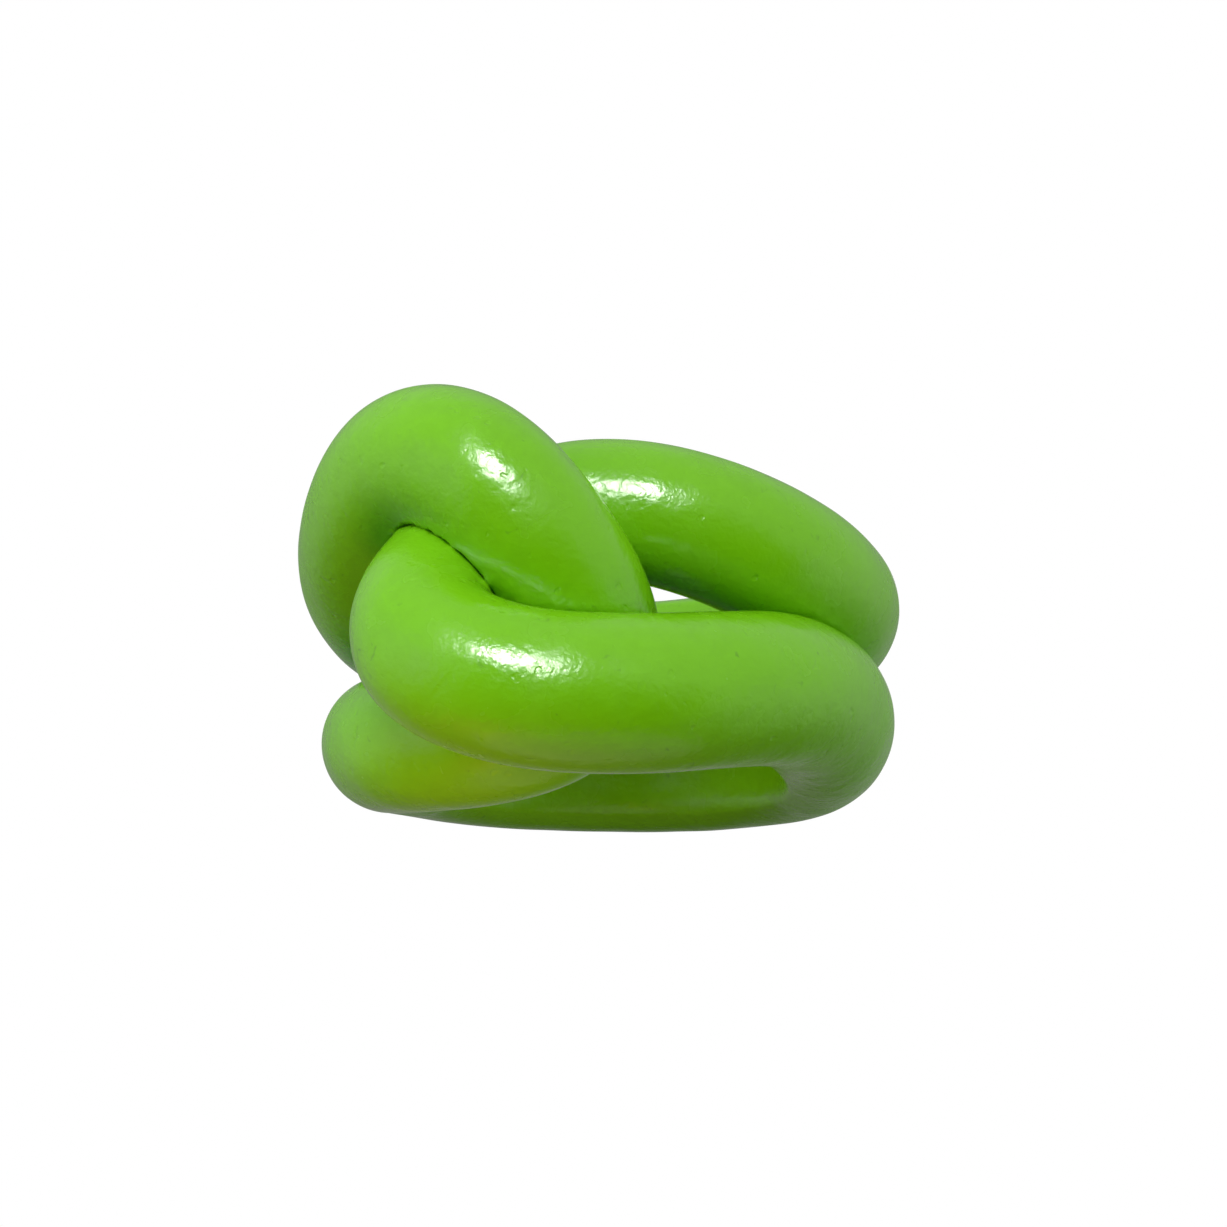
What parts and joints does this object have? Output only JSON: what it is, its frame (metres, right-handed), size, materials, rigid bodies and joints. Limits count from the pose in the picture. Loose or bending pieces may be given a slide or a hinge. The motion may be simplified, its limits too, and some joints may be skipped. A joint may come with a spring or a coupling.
{
  "type": "knot finger ring",
  "caption": "Chunky finger ring of two fat round ropes hooked through each other at the front and joined end to end behind the finger, with a flat round bore.",
  "frame": {"origin": "middle of the finger hole, on its axis and half-way up the band behind the finger", "axes": "+Z along the finger, -Y out of the front where the knot stands out, +X towards the side whose rope leads under the knot"},
  "size_m": [0.0308, 0.0359, 0.0195],
  "materials": {
    "lime_lacquer": "high-gloss brushed lacquer over a hand-rolled rope"
  },
  "bodies": {
    "root": {"right_rope": "lime_lacquer", "left_rope": "lime_lacquer"}
  },
  "joints": []
}
